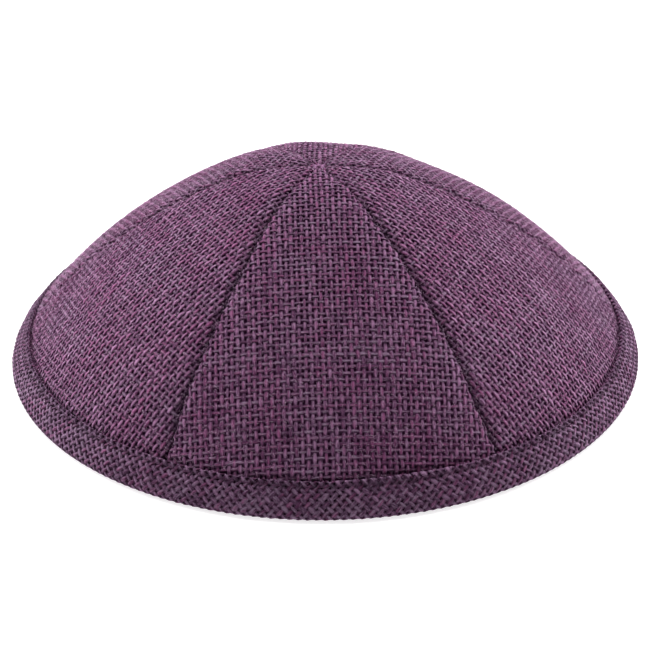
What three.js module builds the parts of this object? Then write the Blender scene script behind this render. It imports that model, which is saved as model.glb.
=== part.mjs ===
// A kippah: six cloth gores sewn into a shallow dome, and a bias strip folded round its edge.
// Units are millimetres and +Z is up. The origin is the middle of the plane that the rim
// rests on, and one gore faces the front, along -Y.

import * as THREE from "three";

// Driving dimensions

// The gores and the two seams that bound each, in degrees round from +X. The seam on the left
// stands a little behind the middle, so the gores are not all alike.
const GORES = [
  { name: "panel_front", seamA: -120, seamB: -60 },
  { name: "panel_front_right", seamA: -60, seamB: 1 },
  { name: "panel_back_right", seamA: 1, seamB: 60 },
  { name: "panel_back", seamA: 60, seamB: 118 },
  { name: "panel_back_left", seamA: 118, seamB: 176 },
  { name: "panel_front_left", seamA: 176, seamB: 240 },
];

// Thickness of one gore, and what the pressed seam allowance adds inside along each seam.
const CLOTH_THICKNESS = 1.5;
const ALLOWANCE_THICKNESS = 0.9;
const ALLOWANCE_WIDTH = 7.0;

// The cloth rolls in to each seam, which leaves a shallow valley between two gores.
const SEAM_GAP = 0.34;
const VALLEY_DEPTH = 0.9;
const VALLEY_WIDTH = 2.0;

// The crown, where the six tips meet, stands slightly off the middle of the rim.
const CROWN_SHIFT = { x: -1.2, y: -0.5 };

// A gore's tip is cut off this far from the crown's middle.
const TIP_RADIUS = 0.9;
const TIP_STATION = 0.009;

// The bias strip is folded round the gores' lower edge at a slope, and rests on its fold.
const BINDING = {
  foldRadius: 82.85,
  foldHeight: 1.6,
  halfThickness: 2.15,
  clothThickness: 1.1,
  slotFloor: 0.5,
  width: 6.7,
  slope: THREE.MathUtils.degToRad(53.5),
  bulge: 0.3,
  steps: 72,
};

// Outer face of the dome along a seam, from the crown down to the neck over the binding.
const SEAM_PROFILE = [
  { radius: 0.0, height: 53.84 },
  { radius: 9.6, height: 53.45 },
  { radius: 20.0, height: 51.6 },
  { radius: 31.9, height: 46.8 },
  { radius: 43.9, height: 40.25 },
  { radius: 55.9, height: 31.95 },
  { radius: 65.5, height: 23.9 },
  { radius: 73.2, height: 15.7 },
  { radius: 77.1, height: 10.7 },
];

// How flat the dome is across a gore: 0 is round, and 1 is flat like a hexagon's side.
const GORE_FLATNESS = [
  { radius: 0.0, flat: 0.42 },
  { radius: 24.0, flat: 0.42 },
  { radius: 48.0, flat: 0.19 },
  { radius: 71.0, flat: 0.035 },
  { radius: 79.0, flat: 0.0 },
];

// Rows of a gore, as shares of the seam line's length from the crown.
const ROW_STATIONS = [
  0.0, 0.03, 0.075, 0.13, 0.19, 0.26, 0.33, 0.4, 0.47, 0.54, 0.61, 0.68, 0.75, 0.82, 0.88, 0.93,
  0.96, 1.0,
];

// Columns of half a gore, as distances from its seam where the gore is wide enough.
const COLUMN_DISTANCES = [0.0, 0.6, 2.0, 6.6, 7.4];
const MIDDLE_COLUMNS = 4;
const FULL_COLUMN_WIDTH = 20.0;

const PANEL_COLOUR = 0x6a4862;
const BINDING_COLOUR = 0x60435b;

// Places in the binding's own section

// A point "up" the binding from its fold and "out" from its middle.
function bindingPoint(up, out) {
  const cos = Math.cos(BINDING.slope);
  const sin = Math.sin(BINDING.slope);
  return new THREE.Vector2(
    BINDING.foldRadius - up * cos + out * sin,
    BINDING.foldHeight + up * sin + out * cos,
  );
}

// Dome

// The seam line runs on, straight, between the two layers of the binding.
function seamCurve() {
  const points = SEAM_PROFILE.map((row) => new THREE.Vector2(row.radius, row.height));
  for (const up of [6.5, 4.6, 2.7, 0.8]) {
    points.push(bindingPoint(up, CLOTH_THICKNESS / 2));
  }
  return new THREE.SplineCurve(points);
}

function flatnessAt(radius) {
  for (let i = 1; i < GORE_FLATNESS.length; i += 1) {
    const near = GORE_FLATNESS[i - 1];
    const far = GORE_FLATNESS[i];
    if (radius <= far.radius) {
      const share = (radius - near.radius) / (far.radius - near.radius);
      return THREE.MathUtils.lerp(near.flat, far.flat, share);
    }
  }
  return 0;
}

// Angles of the columns from the gore's middle, for a row at this radius on the seam.
function columnAngles(radius, halfAngle, scale) {
  const half = COLUMN_DISTANCES.map((distance) => {
    const fromSeam = SEAM_GAP / 2 + distance * scale;
    return halfAngle - Math.asin(fromSeam / radius);
  });
  const last = half[half.length - 1];
  for (let i = 1; i <= MIDDLE_COLUMNS; i += 1) {
    half.push(last * (1 - i / MIDDLE_COLUMNS));
  }
  const mirrored = half.slice(0, -1).reverse().map((angle) => -angle);
  return half.concat(mirrored);
}

// One gore is a closed shell: its outer face, its inner face and the four edges.
function goreGeometry(seamA, seamB) {
  const middleAngle = (seamA + seamB) / 2;
  const halfAngle = (seamB - seamA) / 2;
  const curve = seamCurve();
  const tip = curve.getPointAt(TIP_STATION);
  const bindingTop = bindingPoint(BINDING.width, 0).y;
  const positions = [];
  const outer = [];
  const inner = [];

  ROW_STATIONS.forEach((station) => {
    const u = Math.max(station, TIP_STATION);
    const onSeam = curve.getPointAt(u);
    const along = curve.getTangentAt(u);
    const radius = station === 0 ? TIP_RADIUS : onSeam.x;
    const height = station === 0 ? tip.y : onSeam.y;
    const scale = Math.min(1, (radius * Math.sin(halfAngle)) / FULL_COLUMN_WIDTH);
    const free = THREE.MathUtils.smoothstep(height, bindingTop, bindingTop + 6);
    const valleyDepth = VALLEY_DEPTH * scale * (0.3 + 0.7 * free);
    const flat = flatnessAt(radius);
    const centreShare = 1 - Math.min(1, radius / BINDING.foldRadius);
    const normal = new THREE.Vector2(-along.y, along.x);
    const outerRow = [];
    const innerRow = [];

    for (const angle of columnAngles(radius, halfAngle, scale)) {
      const side = 1 - flat + (flat * Math.cos(halfAngle)) / Math.cos(angle);
      const fromSeam = radius * Math.sin(halfAngle - Math.abs(angle));
      const roll = Math.max(0, 1 - fromSeam / (VALLEY_WIDTH * scale + SEAM_GAP / 2));
      const valley = valleyDepth * roll * roll;
      const pressed = fromSeam < ALLOWANCE_WIDTH * scale ? ALLOWANCE_THICKNESS * free : 0;
      const depths = [valley, CLOTH_THICKNESS + pressed * scale];
      [outerRow, innerRow].forEach((row, face) => {
        const r = radius * side - normal.x * depths[face];
        const z = height - normal.y * depths[face];
        const theta = middleAngle + angle;
        row.push(positions.length / 3);
        positions.push(
          r * Math.cos(theta) + CROWN_SHIFT.x * centreShare,
          r * Math.sin(theta) + CROWN_SHIFT.y * centreShare,
          z,
        );
      });
    }
    outer.push(outerRow);
    inner.push(innerRow);
  });

  const index = [];
  const quad = (a, b, c, d) => index.push(a, b, c, a, c, d);
  const rows = outer.length;
  const columns = outer[0].length;
  for (let i = 0; i < rows - 1; i += 1) {
    for (let j = 0; j < columns - 1; j += 1) {
      quad(outer[i][j], outer[i][j + 1], outer[i + 1][j + 1], outer[i + 1][j]);
      quad(inner[i][j], inner[i + 1][j], inner[i + 1][j + 1], inner[i][j + 1]);
    }
    quad(outer[i][0], outer[i + 1][0], inner[i + 1][0], inner[i][0]);
    const end = columns - 1;
    quad(outer[i][end], inner[i][end], inner[i + 1][end], outer[i + 1][end]);
  }
  for (let j = 0; j < columns - 1; j += 1) {
    quad(outer[0][j], inner[0][j], inner[0][j + 1], outer[0][j + 1]);
    const end = rows - 1;
    quad(outer[end][j], outer[end][j + 1], inner[end][j + 1], inner[end][j]);
  }

  const geometry = new THREE.BufferGeometry();
  geometry.setAttribute("position", new THREE.Float32BufferAttribute(positions, 3));
  geometry.setIndex(index);
  geometry.computeVertexNormals();
  return geometry;
}

// Binding

// Closed section of the bias strip: an outer layer, the fold that it rests on and an inner
// layer, with the slot between them that takes the gores' edge.
function bindingSection() {
  const thick = BINDING.halfThickness;
  const slot = thick - BINDING.clothThickness;
  const floor = BINDING.slotFloor;
  const width = BINDING.width;
  const section = [];

  for (const up of [6.6, 5.4, 3.9, 2.4, 1.1]) {
    section.push(bindingPoint(up, thick + BINDING.bulge * Math.sin((Math.PI * up) / 7.1)));
  }
  const outward = Math.PI / 2 - BINDING.slope;
  const flatHalf = Math.acos(BINDING.foldHeight / thick);
  const bottom = -Math.PI / 2;
  const foldAngles = [
    outward,
    outward - 0.5,
    outward - 1.0,
    bottom + flatHalf,
    bottom - flatHalf,
    outward - Math.PI,
  ];
  for (const angle of foldAngles) {
    section.push(
      new THREE.Vector2(
        BINDING.foldRadius + thick * Math.cos(angle),
        Math.max(0, BINDING.foldHeight + thick * Math.sin(angle)),
      ),
    );
  }
  section.push(bindingPoint(3.0, -thick));
  section.push(bindingPoint(width - 0.5, -thick));
  section.push(bindingPoint(width, -thick + 0.45));
  section.push(bindingPoint(width - 0.2, -slot - 0.1));
  section.push(bindingPoint(width - 0.8, -slot));
  section.push(bindingPoint(floor, -slot));
  section.push(bindingPoint(floor - 0.75 * slot, -0.65 * slot));
  section.push(bindingPoint(floor - slot, 0));
  section.push(bindingPoint(floor - 0.75 * slot, 0.65 * slot));
  section.push(bindingPoint(floor, slot));
  section.push(bindingPoint(3.0, slot));
  section.push(bindingPoint(width - 0.6, slot));
  section.push(bindingPoint(width + 0.15, slot + 0.25));
  section.push(bindingPoint(width + 0.3, slot + 0.7));
  section.push(section[0].clone());
  return section.reverse();
}

// The lathe turns about Y, so the ring is tipped up to turn about Z.
function bindingGeometry() {
  const geometry = new THREE.LatheGeometry(bindingSection(), BINDING.steps);
  geometry.rotateX(Math.PI / 2);
  return geometry;
}

// Assembly

function cloth(colour) {
  return new THREE.MeshStandardMaterial({ color: colour, roughness: 0.92, metalness: 0 });
}

function piece(name, geometry, colour) {
  const mesh = new THREE.Mesh(geometry, cloth(colour));
  mesh.name = name;
  return mesh;
}

const kippah = new THREE.Group();
kippah.name = "kippah";
for (const gore of GORES) {
  const seamA = THREE.MathUtils.degToRad(gore.seamA);
  const seamB = THREE.MathUtils.degToRad(gore.seamB);
  kippah.add(piece(gore.name, goreGeometry(seamA, seamB), PANEL_COLOUR));
}
kippah.add(piece("rim_binding", bindingGeometry(), BINDING_COLOUR));

export default kippah;
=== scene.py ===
# A kippah: six gores of coarse woven cloth sewn into a shallow dome, and a bias strip folded
# round the edge. The yarns are laid flat as a loom lays them, and then fitted to each gore
# through the gore's own flat pattern. Tables are in millimetres, and MM turns them to metres.

import math

import bpy
import numpy as np
from mathutils import Matrix, Vector


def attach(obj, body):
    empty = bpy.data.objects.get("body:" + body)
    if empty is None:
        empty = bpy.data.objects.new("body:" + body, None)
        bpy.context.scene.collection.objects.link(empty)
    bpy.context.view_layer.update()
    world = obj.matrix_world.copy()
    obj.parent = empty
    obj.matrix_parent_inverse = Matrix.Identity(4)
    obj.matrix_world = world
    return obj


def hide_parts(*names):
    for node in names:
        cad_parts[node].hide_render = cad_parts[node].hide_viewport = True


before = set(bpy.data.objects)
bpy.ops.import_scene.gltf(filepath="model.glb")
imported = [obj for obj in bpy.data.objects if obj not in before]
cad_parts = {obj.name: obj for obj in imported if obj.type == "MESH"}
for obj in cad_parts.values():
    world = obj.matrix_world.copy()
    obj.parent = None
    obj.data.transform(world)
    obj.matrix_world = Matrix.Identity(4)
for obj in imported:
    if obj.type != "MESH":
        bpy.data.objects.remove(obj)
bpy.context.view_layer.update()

MM = 0.001

# The gores, as the solids have them: the node each stands for, and the two seams, in degrees.
GORES = [
    ("gore_front", "panel_front", -120, -60),
    ("gore_front_right", "panel_front_right", -60, 1),
    ("gore_back_right", "panel_back_right", 1, 60),
    ("gore_back", "panel_back", 60, 118),
    ("gore_back_left", "panel_back_left", 118, 176),
    ("gore_front_left", "panel_front_left", 176, 240),
]

# The crown stands slightly off the middle of the rim.
CROWN_SHIFT = (-1.2, -0.5)

# Radius and height of the dome's outer face along a seam, and how flat a gore is across it at
# each radius: 0 is round, and 1 is flat like a hexagon's side.
SEAM_PROFILE = [
    (0.0, 53.84), (9.6, 53.45), (20.0, 51.6), (31.9, 46.8), (43.9, 40.25),
    (55.9, 31.95), (65.5, 23.9), (73.2, 15.7), (77.1, 10.7),
]
GORE_FLATNESS = [(0.0, 0.42), (24.0, 0.42), (48.0, 0.19), (71.0, 0.035), (79.0, 0.0)]

# The binding's own section: it is measured up from the fold along its slope, and out from
# the middle of its thickness.
FOLD_RADIUS = 82.85
FOLD_HEIGHT = 1.6
BINDING_SLOPE = math.radians(53.5)
BINDING_HALF = 2.15
BINDING_WIDTH = 6.7
CLOTH_HALF = 0.75

# The middle of the yarns lies this far under a gore's outer face, and the ground of the
# cloth, which shows dark between the yarns, lies this far under the yarns' middle.
YARN_DEPTH = 0.35
GROUND_DEPTH = 0.36
GROUND_THICKNESS = 0.65

# A gore's edge, from the raw edge of its seam allowance to the open face: how far from the
# seam, how far below the face, and how deep the ground lies under the yarns.
SEAM_EDGE = [
    (7.4, 2.30, 0.0), (5.0, 2.31, 0.0), (2.6, 2.30, 0.0), (1.1, 2.28, 0.0),
    (0.42, 2.14, 0.0), (0.10, 1.88, 0.0), (0.06, 1.50, 0.0), (0.16, 1.10, 0.10),
    (0.25, 0.74, 0.24), (0.35, 0.45, 0.34), (0.50, 0.25, 0.36), (0.74, 0.12, 0.36),
    (1.1, 0.05, 0.36), (1.7, 0.01, 0.36), (2.5, 0.0, 0.36),
]
# The wall of the seam ends at this place in the list, and the roll to the open face starts.
WALL_TOP = 7
ALLOWANCE_COLUMNS = 5
MIDDLE_COLUMNS = 11
GORE_COLUMNS = 2 * len(SEAM_EDGE) + MIDDLE_COLUMNS

# Loom settings. Warp runs along a gore and weft across it.
WARP = {"pitch": 1.36, "half_width": 0.51, "half_height": 0.15, "wave": 0.15}
WEFT = {"pitch": 1.555, "half_width": 0.48, "half_height": 0.14, "wave": 0.115}
BIAS = {"pitch": 1.45, "half_width": 0.50, "half_height": 0.13, "wave": 0.12}
YARN_SIDES = 5
STEPS_PER_CROSSING = 2

# A fresh yarn's radius before it is spun, and half a yarn's width in its own map.
FRESH_RADIUS = 0.25
HALF_IN_MAP = 0.45

# Width and length of the piece of cloth that a gore is cut from.
CLOTH_PIECE = (96.0, 122.0)

# The map of a flat pattern counts in tenths of a metre.
MAP_PER_METRE = 10.0
MM_PER_MAP = 100.0

# Loose fibres on a square metre of yarn, for each of the gores. The back ones have more.
FUZZ = [2600000.0, 3600000.0, 4800000.0, 5200000.0, 4800000.0, 3600000.0]

# A fibre's shape: half its length, half its width, how far it bows aside, and the height of
# its tips and of its middle.
FIBRE_REACH = 0.6
FIBRE_HALF_WIDTH = 0.03
FIBRE_BOW = 0.15
FIBRE_TIPS = -0.03
FIBRE_MIDDLE = 0.14

# Each fibre is turned and scaled by random values between these two.
FIBRE_TURNS = [(-1.2, -0.3, 0.0), (1.2, 0.3, 6.283)]
FIBRE_SCALES = [(0.4, 0.7, 0.3), (1.4, 1.2, 1.7)]

# Fibres lie only on what faces away from this point, in metres, by more than this measure.
FUZZ_CENTRE = (0.0, 0.0, -0.035)
FUZZ_FACING = 0.055

# The stitches on the binding: how many, how far up the slope and out, and their thread. Half a
# stitch is as long as this share of the way between two needle holes. Its middle stands up by
# the lift, and its ends dive.
STITCHES = 136
STITCH_UP = 5.9
STITCH_OUT = 1.93
THREAD_RADIUS = 0.12
STITCH_HALF_LENGTH = 0.36
STITCH_LIFT = 0.24
STITCH_DIVE = 0.22

# A needle hole's half-width, as a share of the way between two, and the half-widths of the
# row that the thread pulls in and of the ridge. The ridge stands this far over the row.
HOLE_WIDTH = 0.16
ROW_WIDTH = 0.5
RIDGE_WIDTH = 0.45
RIDGE_OVER_ROW = 0.95

# Waves of the binding's face round the rim: height, number and start.
BINDING_WAVES = [(0.10, 17, 1.3), (0.08, 41, 0.4), (0.05, 83, 2.0)]


# Small helpers

def deselect():
    if bpy.context.object and bpy.context.object.mode != "OBJECT":
        bpy.ops.object.mode_set(mode="OBJECT")
    bpy.ops.object.select_all(action="DESELECT")


def pick(*pieces):
    deselect()
    for piece in pieces:
        piece.select_set(True)
    bpy.context.view_layer.objects.active = pieces[0]


def fresh(name):
    """The piece that was just added, under its own name."""
    piece = bpy.context.object
    piece.name = name
    piece.data.name = name
    return piece


def open_piece(piece, action="SELECT"):
    """Edit mode, with every point of the piece selected, or none."""
    pick(piece)
    bpy.ops.object.mode_set(mode="EDIT")
    bpy.ops.mesh.select_mode(type="VERT")
    bpy.ops.mesh.select_all(action=action)


def close_piece():
    bpy.ops.object.mode_set(mode="OBJECT")


def read_vectors(piece, what):
    values = np.empty(len(piece.data.vertices) * 3)
    piece.data.vertices.foreach_get(what, values)
    return values.reshape(-1, 3)


def points_of(piece):
    return read_vectors(piece, "co")


def facing_of(piece):
    return read_vectors(piece, "normal")


def move_points(piece, points):
    piece.data.vertices.foreach_set("co", np.ascontiguousarray(points, dtype=float).ravel())
    piece.data.update()


def corner_points(piece):
    corners = np.empty(len(piece.data.loops), dtype=np.int32)
    piece.data.loops.foreach_get("vertex_index", corners)
    return corners


def write_map(piece, name, per_point):
    """A UV map that has one value for each point of the mesh."""
    layer = piece.data.uv_layers.get(name) or piece.data.uv_layers.new(name=name)
    layer.uv.foreach_set("vector", per_point[corner_points(piece)].astype(np.float32).ravel())


def drop_maps(piece):
    for layer in list(piece.data.uv_layers):
        piece.data.uv_layers.remove(layer)


def write_number(piece, name, per_point):
    """A number at each point of the mesh, for the finish to read."""
    store = piece.data.attributes.new(name, "FLOAT", "POINT")
    store.data.foreach_set("value", per_point.astype(np.float32))


def apply_all(piece):
    pick(piece)
    for name in [modifier.name for modifier in piece.modifiers]:
        bpy.ops.object.modifier_apply(modifier=name)


def smooth_shade(piece):
    pick(piece)
    bpy.ops.object.shade_smooth()


def copy_of(piece, name):
    pick(piece)
    bpy.ops.object.duplicate(linked=False)
    return fresh(name)


def smoothstep(value, low, high):
    """0 at low and 1 at high, with a soft start and end."""
    share = np.clip((value - low) / (high - low), 0.0, 1.0)
    return share * share * (3.0 - 2.0 * share)


def bell(away, width):
    """1 in the middle, and less and less with the distance from it."""
    return np.exp(-((away / width) ** 2))


def drift(rng, lane, place, spacing):
    """Smooth random values, one line of them for each lane."""
    place = place / spacing
    place = place - place.min()
    lane = lane.astype(int) - int(lane.min())
    knots = rng.normal(size=(lane.max() + 1, int(place.max()) + 3))
    near = place.astype(int)
    share = place - near
    share = share * share * (3.0 - 2.0 * share)
    return knots[lane, near] * (1.0 - share) + knots[lane, near + 1] * share


class Nodes:
    """Adds nodes to one tree."""

    def __init__(self, tree):
        self.tree = tree

    def add(self, kind, settings=None, sockets=None):
        """A node, with its settings made first and then its sockets set or linked."""
        node = self.tree.nodes.new(kind)
        for name, value in (settings or {}).items():
            setattr(node, name, value)
        for name, value in (sockets or {}).items():
            self.fill(node.inputs[name], value)
        return node

    def fill(self, socket, value):
        if isinstance(value, Value):
            value = value.socket
        if isinstance(value, bpy.types.NodeSocket):
            self.tree.links.new(value, socket)
        else:
            socket.default_value = value


# The dome's shape

def binding_point(up, out):
    cos = math.cos(BINDING_SLOPE)
    sin = math.sin(BINDING_SLOPE)
    return (FOLD_RADIUS - up * cos + out * sin, FOLD_HEIGHT + up * sin + out * cos)


def spline_through(points, per_span=24):
    """A smooth line through the points: places on it and how far along each is."""
    points = np.array(points)
    padded = np.vstack([points[:1], points, points[-1:]])
    share = np.linspace(0.0, 1.0, per_span, endpoint=False)[:, None]
    line = []
    for k in range(len(points) - 1):
        a, b, c, d = padded[k : k + 4]
        slope_in = (c - a) * 0.5
        slope_out = (d - b) * 0.5
        line.append(
            (2 * b - 2 * c + slope_in + slope_out) * share**3
            + (-3 * b + 3 * c - 2 * slope_in - slope_out) * share**2
            + slope_in * share
            + b
        )
    line = np.vstack(line + [points[-1:]])
    steps = np.hypot(*np.diff(line, axis=0).T)
    return line, np.concatenate([[0.0], np.cumsum(steps)])


def along_line(line, length, distance, step):
    """Radius, height and outward direction at a distance along a section's line."""

    def at(place):
        place = np.clip(place, 0.0, length[-1])
        return np.stack([np.interp(place, length, line[:, k]) for k in (0, 1)])

    radius, height = at(distance)
    along_r, along_z = at(distance + step) - at(distance - step)
    size = np.hypot(along_r, along_z)
    return radius, height, -along_z / size, along_r / size


SEAM_LINE, SEAM_LENGTH = spline_through(
    SEAM_PROFILE + [binding_point(up, CLOTH_HALF) for up in (6.5, 4.6, 2.7, 0.8)]
)

# Rows of a gore, by their distance from the crown: close together at the tip, and then even.
TIP_ROWS = [0.35, 0.62, 0.88, 1.15, 1.55, 2.1, 2.9, 4.0, 5.6]
FIRST_EVEN_ROW = 7.8
EVEN_ROWS = 46
ROWS = np.concatenate([TIP_ROWS, np.linspace(FIRST_EVEN_ROW, SEAM_LENGTH[-1], EVEN_ROWS)])
ROW_RADIUS, ROW_HEIGHT, ROW_OUT_R, ROW_OUT_Z = along_line(SEAM_LINE, SEAM_LENGTH, ROWS, 0.4)

# How free of the binding the cloth lies in each row, and how much it is in the binding's slot.
BINDING_TOP = binding_point(BINDING_WIDTH, 0.0)[1]
ROW_FREE = smoothstep(ROW_HEIGHT, BINDING_TOP - 1.0, BINDING_TOP + 5.0)
ROW_IN_SLOT = 1.0 - smoothstep(ROW_HEIGHT, BINDING_TOP - 1.6, BINDING_TOP + 1.2)

# Each seam wanders a little, and both gores at a seam share its wander. The seam on the left
# also comes forward on its way to the rim.
SEAM_WANDER_SIZE = 0.22
SEAM_WANDER_SPACING = 9.0
LEFT_SEAM = 4
LEFT_SEAM_FORWARD = 1.3
seam_rng = np.random.default_rng(31)
SEAM_WANDER = {
    k: drift(seam_rng, np.zeros(len(ROWS)), ROWS, SEAM_WANDER_SPACING) * SEAM_WANDER_SIZE
    for k in range(6)
}
SEAM_WANDER[LEFT_SEAM] += LEFT_SEAM_FORWARD * smoothstep(ROWS, 20.0, 60.0)

# How far each gore dips beside its two seams: the front gore's edges stay up over its
# neighbours' edges.
SEAM_DIPS = [(0.0, 0.0), (0.55, 0.3), (0.15, 0.15), (0.15, 0.15), (0.15, 0.1), (0.36, 0.55)]

# How far the stitches of a seam, one to every two rows, pull the cloth in, and how far from
# the seam they reach.
SEAM_STITCH_DIP = 0.75
SEAM_STITCH_REACH = 1.05

# The thread pulls a seam in deeper at some places than at others, and a gore's open face
# swells softly here and there: how far apart these places are, and how strong they are.
PULL_SPACING = 3.6
PULL_SIZE = 0.22
SWELL_SPACING = 19.0
SWELL_SIZE = 0.12

# Places round the rim where the binding stands off the cloth and leaves a dark ditch:
# direction, half-width in degrees, and depth.
DITCHES = [(-79.0, 8.0, 0.6), (47.0, 9.0, 0.3), (128.0, 7.0, 0.3)]

# The gores swell out against the top of the binding: how far, how high over it, and half the
# swell's height.
NECK_SWELL = 0.42
NECK_SWELL_UP = 2.1
NECK_SWELL_HALF = 1.3

# The six tips sink in together at the crown: how far and how wide. Their yarns get painted shade
# there: how dark and how wide.
CROWN_DIP = 0.9
CROWN_DIP_RADIUS = 1.9
CROWN_SHADE = 0.45
CROWN_SHADE_RADIUS = 4.5


def ditch_at(turn):
    """How deep the ditch above the binding is in a direction."""
    degrees = np.degrees(turn)
    depth = np.zeros_like(degrees)
    for centre, half, deep in DITCHES:
        away = (degrees - centre + 180.0) % 360.0 - 180.0
        depth += deep * bell(away, half)
    return depth


def gore_edge(number, side, i, half, pull):
    """One edge of one row of a gore, from its raw edge inwards: angles and depths."""
    edge = np.array(SEAM_EDGE)
    place = np.arange(len(edge))
    full = edge[-1, 0]
    radius = ROW_RADIUS[i]
    free = ROW_FREE[i]
    width = radius * math.sin(half)

    # Near the tip a gore is too narrow for its whole edge, and the edge shrinks with it.
    wall = min(edge[WALL_TOP, 0], 0.85 * width)
    narrow = min(1.0, max(0.02, (0.8 * width - wall) / (full - wall)))
    inside = min(1.0, max(0.02, (0.8 * width - wall) / (edge[0, 0] - wall)))
    share = np.where(place < ALLOWANCE_COLUMNS, inside, narrow)
    reach = wall + (edge[:, 0] - edge[WALL_TOP, 0]) * share
    roll = np.interp(reach, edge[WALL_TOP + 1 :, 0], edge[WALL_TOP + 1 :, 1])
    deep = np.where(place <= WALL_TOP, edge[:, 1], roll)

    # The roll gets shallow at the crown and in the binding, and dips where a stitch pulls.
    shallow = 1.0 + PULL_SIZE * pull
    lowered = np.where(deep < 1.1, deep * shallow * (0.35 + 0.65 * free), deep)
    lowered = lowered * (0.3 + 0.7 * smoothstep(radius, 3.0, 24.0))
    dip = SEAM_DIPS[number][side] * shallow * smoothstep(radius, 6.0, 30.0)
    lowered = lowered + dip * (1.0 - smoothstep(reach, 0.5, full)) * free
    stitched = SEAM_STITCH_DIP * (i % 2) * (1.0 - ROW_IN_SLOT[i]) * smoothstep(radius, 14.0, 30.0)
    lowered = lowered + stitched * bell(reach, SEAM_STITCH_REACH) * free
    lowered = np.where(
        place <= WALL_TOP,
        deep * (1.0 - 0.26 * ROW_IN_SLOT[i]),
        np.minimum(lowered, deep[WALL_TOP]),
    )
    return half - np.arcsin(np.clip(reach / radius, -0.99, 0.99)), lowered


def gore_points(number):
    """A gore as rows and columns: its yarn middle, its ground, its wall, and the painted shade
    that its yarns get where it lies deep.
    """
    _, _, seam_a, seam_b = GORES[number]
    middle = math.radians((seam_a + seam_b) / 2)
    half = math.radians((seam_b - seam_a) / 2)
    rng = np.random.default_rng(100 + number)
    flat = np.interp(ROW_RADIUS, *np.array(GORE_FLATNESS).T)
    shift = 1.0 - np.minimum(1.0, ROW_RADIUS / FOLD_RADIUS)
    one_lane = np.zeros(len(ROWS))
    pull = [drift(rng, one_lane, ROWS, PULL_SPACING) for _ in range(2)]
    swell = [drift(rng, one_lane, ROWS, SWELL_SPACING) for _ in range(3)]
    blend = np.arange(1, MIDDLE_COLUMNS + 1) / (MIDDLE_COLUMNS + 1)
    under = np.array(SEAM_EDGE)[:, 2]
    ground = np.concatenate([under, np.full(MIDDLE_COLUMNS, GROUND_DEPTH), under[::-1]])

    rows = []
    grounds = []
    thick = []
    sunk = []
    for i in range(len(ROWS)):
        radius = ROW_RADIUS[i]
        height = ROW_HEIGHT[i]
        bare = 1.0 - ROW_IN_SLOT[i]
        one, other = [gore_edge(number, side, i, half, pull[side][i]) for side in (0, 1)]
        mid_angle = -one[0][-1] * (1 - blend) + other[0][-1] * blend
        angle = np.concatenate([-one[0], mid_angle, other[0][::-1]])
        depth = np.concatenate([one[1], np.zeros(MIDDLE_COLUMNS), other[1][::-1]])
        place = angle / half
        seams = [SEAM_WANDER[(number + 5) % 6][i], SEAM_WANDER[number][i]]
        wander = np.interp(place, [-1.0, 1.0], seams)
        bound = min(1.0, radius / 12.0) * bare
        turned = middle + angle + wander * bound / max(radius, 1.0)
        side_share = 1 - flat[i] + flat[i] * math.cos(half) / np.cos(
            np.clip(angle, -half, half)
        )
        ripple = bound * SWELL_SIZE * (
            swell[0][i] * np.cos(place * 1.4)
            + swell[1][i] * np.sin(place * 2.6)
            + swell[2][i] * np.cos(place * 4.1 + 1.0)
        )
        open_face = smoothstep(1.0 - np.abs(place), 0.02, 0.3)
        neck = smoothstep(height, BINDING_TOP + 4.5, BINDING_TOP + 0.4) * bare
        crown_dip = CROWN_DIP * bell(radius, CROWN_DIP_RADIUS)
        down = YARN_DEPTH + depth - ripple * open_face + ditch_at(turned) * neck + crown_dip
        # Painted shade for the yarns where the cloth lies deep, as in the seams and ditches, and
        # at the crown.
        crown_shade = CROWN_SHADE * bell(radius, CROWN_SHADE_RADIUS)
        sunk.append(np.maximum(smoothstep(down - YARN_DEPTH, 0.36, 1.0), crown_shade))
        down = down - NECK_SWELL * bell(height - BINDING_TOP - NECK_SWELL_UP, NECK_SWELL_HALF)
        r = radius * side_share - ROW_OUT_R[i] * down
        z = height - ROW_OUT_Z[i] * down
        x = r * np.cos(turned) + CROWN_SHIFT[0] * shift[i]
        y = r * np.sin(turned) + CROWN_SHIFT[1] * shift[i]
        rows.append(np.stack([x, y, z], axis=1))
        grounds.append(ground * min(1.0, 0.35 + 0.2 * radius * math.sin(half)))
        thick.append(np.full(len(ground), 1.0 - 0.5 * ROW_IN_SLOT[i]))
    return np.array(rows) * MM, np.array(grounds) * MM, np.array(thick), np.array(sunk)


def grid_places(piece, columns, rows):
    """Column and row of each point of a fresh grid two units wide."""
    points = points_of(piece)
    column = np.rint((points[:, 0] + 1.0) / 2.0 * (columns - 1)).astype(int)
    row = np.rint((points[:, 1] + 1.0) / 2.0 * (rows - 1)).astype(int)
    return column, row


def in_allowance(column):
    return (column < ALLOWANCE_COLUMNS) | (column >= GORE_COLUMNS - ALLOWANCE_COLUMNS)


def length_of_lines(grid):
    """The length of all lines of a grid, along and across."""
    return sum(np.linalg.norm(np.diff(grid, axis=way), axis=2).sum() for way in (0, 1))


# Rows at each end of a gore that don't count when its pattern is set upright.
END_ROWS = 8


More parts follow.
